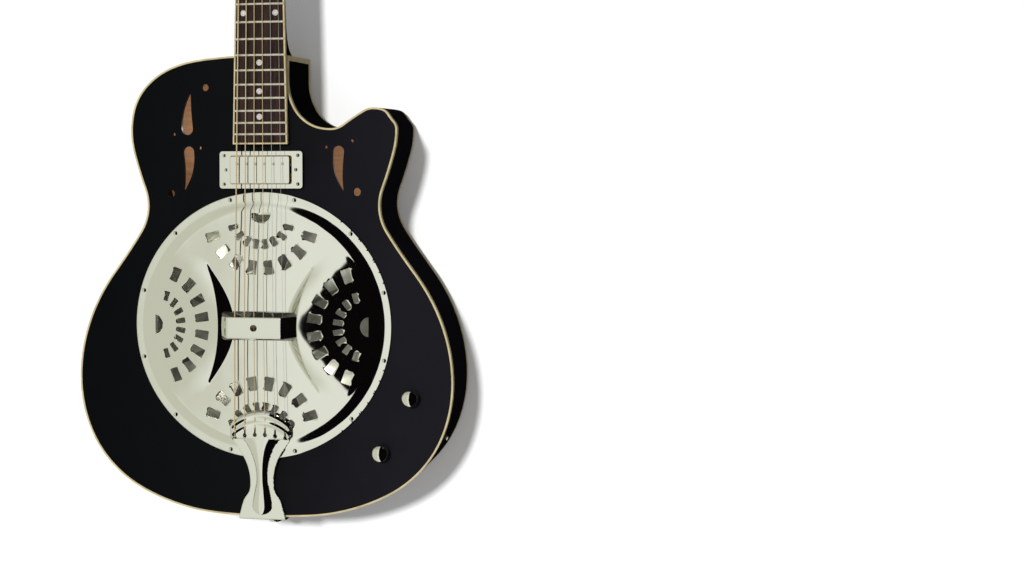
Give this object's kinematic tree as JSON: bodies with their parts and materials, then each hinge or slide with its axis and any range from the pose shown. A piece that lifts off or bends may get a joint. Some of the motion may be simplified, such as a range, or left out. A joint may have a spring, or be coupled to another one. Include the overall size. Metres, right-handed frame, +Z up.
{
  "type": "resonator guitar",
  "caption": "Electric resonator guitar with a single cutaway, a round slotted coverplate, a covered neck pickup, a bent tailpiece, a bound fretboard and a tilted headstock with enclosed tuners.",
  "frame": {"origin": "where the end strap button's axis meets the tail of the rim, at half the body's depth", "axes": "+Z up the neck from the tail; +X towards the treble side seen from the front; -Y towards the player's view, out of the soundboard"},
  "size_m": [0.415, 0.114, 1.0511],
  "materials": {
    "black_lacquer": "satin black lacquer",
    "cream_plastic": "polished cream celluloid",
    "inner_wood": "bare laminated wood",
    "chrome_plate": "polished",
    "spun_aluminium": "spun",
    "cast_metal": "cast",
    "maple": "bare",
    "steel": "plated",
    "dark_steel": "blackened",
    "copper_winding": "lacquered wire",
    "rosewood": "oiled",
    "nickel_silver": "polished",
    "pearl_inlay": "grey pearloid",
    "bone": "polished",
    "black_plastic": "satin",
    "bronze_wire": "wound",
    "plain_steel_wire": "drawn"
  },
  "bodies": {
    "guitar": {"soundboard": "black_lacquer", "back_plate": "black_lacquer", "side_bass": "black_lacquer", "side_treble": "black_lacquer", "side_cutaway": "black_lacquer", "linings": "inner_wood", "neck_block": "inner_wood", "tail_block": "inner_wood", "top_binding": "cream_plastic", "back_binding": "cream_plastic", "shoulder_binding": "cream_plastic", "soundwell_ring": "inner_wood", "resonator_cone": "spun_aluminium", "spider_bridge": "cast_metal", "bridge_saddles": "maple", "tension_screw": "steel", "coverplate": "chrome_plate", "palm_rest": "chrome_plate", "coverplate_screws": "chrome_plate", "tailpiece": "chrome_plate", "end_strap_button": "chrome_plate", "pickup_ring": "chrome_plate", "pickup_height_screws": "steel", "pickup_springs": "steel", "pickup_ring_screws": "steel", "control_pots": "steel", "pot_nuts": "steel", "output_jack": "chrome_plate", "neck": "black_lacquer", "fretboard": "rosewood", "frets": "nickel_silver", "fretboard_binding": "cream_plastic", "position_dots": "pearl_inlay", "nut": "bone", "truss_rod": "dark_steel", "truss_rod_cover": "black_plastic", "truss_cover_screws": "dark_steel", "wound_strings": "bronze_wire", "plain_strings": "plain_steel_wire", "tuner_housings": "chrome_plate", "tuner_bushings": "chrome_plate"},
    "pickup": {"pickup_cover": "chrome_plate", "pickup_baseplate": "steel", "pickup_coils": "copper_winding", "pickup_pole_screws": "steel"},
    "volume_control": {"volume_knob": "chrome_plate", "volume_shaft": "steel"},
    "tone_control": {"tone_knob": "chrome_plate", "tone_shaft": "steel"},
    "tuner_key_1": {"tuner_key_1": "chrome_plate"},
    "tuner_post_1": {"tuner_post_1": "chrome_plate"},
    "tuner_key_2": {"tuner_key_2": "chrome_plate"},
    "tuner_post_2": {"tuner_post_2": "chrome_plate"},
    "tuner_key_3": {"tuner_key_3": "chrome_plate"},
    "tuner_post_3": {"tuner_post_3": "chrome_plate"},
    "tuner_key_4": {"tuner_key_4": "chrome_plate"},
    "tuner_post_4": {"tuner_post_4": "chrome_plate"},
    "tuner_key_5": {"tuner_key_5": "chrome_plate"},
    "tuner_post_5": {"tuner_post_5": "chrome_plate"},
    "tuner_key_6": {"tuner_key_6": "chrome_plate"},
    "tuner_post_6": {"tuner_post_6": "chrome_plate"}
  },
  "joints": [
    {"name": "pickup_height", "type": "slide", "parent": "guitar", "child": "pickup", "axis": [0, -1, 0], "range_m": [-0.0015, 0.0015], "deforming": ["pickup_springs"]},
    {"name": "volume_turn", "type": "hinge", "parent": "guitar", "child": "volume_control", "pos_m": [0.1627, -0.042, 0.1306], "axis": [0, -1, 0], "range_deg": [-150, 150]},
    {"name": "tone_turn", "type": "hinge", "parent": "guitar", "child": "tone_control", "pos_m": [0.1303, -0.042, 0.0724], "axis": [0, -1, 0], "range_deg": [-150, 150]},
    {"name": "tuner_key_1_turn", "type": "hinge", "parent": "guitar", "child": "tuner_key_1", "pos_m": [-0.0208, -0.01112, 0.91602], "axis": [1, 0, 0], "continuous": true},
    {"name": "tuner_post_1_turn", "type": "hinge", "parent": "guitar", "child": "tuner_post_1", "pos_m": [-0.0208, -0.03207, 0.91226], "axis": [0, -0.9724, 0.2334], "continuous": true},
    {"name": "tuner_key_2_turn", "type": "hinge", "parent": "guitar", "child": "tuner_key_2", "pos_m": [-0.0208, -0.00173, 0.95511], "axis": [1, 0, 0], "continuous": true},
    {"name": "tuner_post_2_turn", "type": "hinge", "parent": "guitar", "child": "tuner_post_2", "pos_m": [-0.0208, -0.02269, 0.95135], "axis": [0, -0.9724, 0.2334], "continuous": true},
    {"name": "tuner_key_3_turn", "type": "hinge", "parent": "guitar", "child": "tuner_key_3", "pos_m": [-0.0208, 0.00765, 0.9942], "axis": [1, 0, 0], "continuous": true},
    {"name": "tuner_post_3_turn", "type": "hinge", "parent": "guitar", "child": "tuner_post_3", "pos_m": [-0.0208, -0.01331, 0.99044], "axis": [0, -0.9724, 0.2334], "continuous": true},
    {"name": "tuner_key_4_turn", "type": "hinge", "parent": "guitar", "child": "tuner_key_4", "pos_m": [0.0208, 0.00765, 0.9942], "axis": [1, 0, 0], "continuous": true},
    {"name": "tuner_post_4_turn", "type": "hinge", "parent": "guitar", "child": "tuner_post_4", "pos_m": [0.0208, -0.01331, 0.99044], "axis": [0, -0.9724, 0.2334], "continuous": true},
    {"name": "tuner_key_5_turn", "type": "hinge", "parent": "guitar", "child": "tuner_key_5", "pos_m": [0.0208, -0.00173, 0.95511], "axis": [1, 0, 0], "continuous": true},
    {"name": "tuner_post_5_turn", "type": "hinge", "parent": "guitar", "child": "tuner_post_5", "pos_m": [0.0208, -0.02269, 0.95135], "axis": [0, -0.9724, 0.2334], "continuous": true},
    {"name": "tuner_key_6_turn", "type": "hinge", "parent": "guitar", "child": "tuner_key_6", "pos_m": [0.0208, -0.01112, 0.91602], "axis": [1, 0, 0], "continuous": true},
    {"name": "tuner_post_6_turn", "type": "hinge", "parent": "guitar", "child": "tuner_post_6", "pos_m": [0.0208, -0.03207, 0.91226], "axis": [0, -0.9724, 0.2334], "continuous": true}
  ],
  "couplings": [
    {"joint": "tuner_post_1_turn", "follows": "tuner_key_1_turn", "ratio": 0.066667},
    {"joint": "tuner_post_2_turn", "follows": "tuner_key_2_turn", "ratio": 0.066667},
    {"joint": "tuner_post_3_turn", "follows": "tuner_key_3_turn", "ratio": 0.066667},
    {"joint": "tuner_post_4_turn", "follows": "tuner_key_4_turn", "ratio": 0.066667},
    {"joint": "tuner_post_5_turn", "follows": "tuner_key_5_turn", "ratio": 0.066667},
    {"joint": "tuner_post_6_turn", "follows": "tuner_key_6_turn", "ratio": 0.066667}
  ]
}
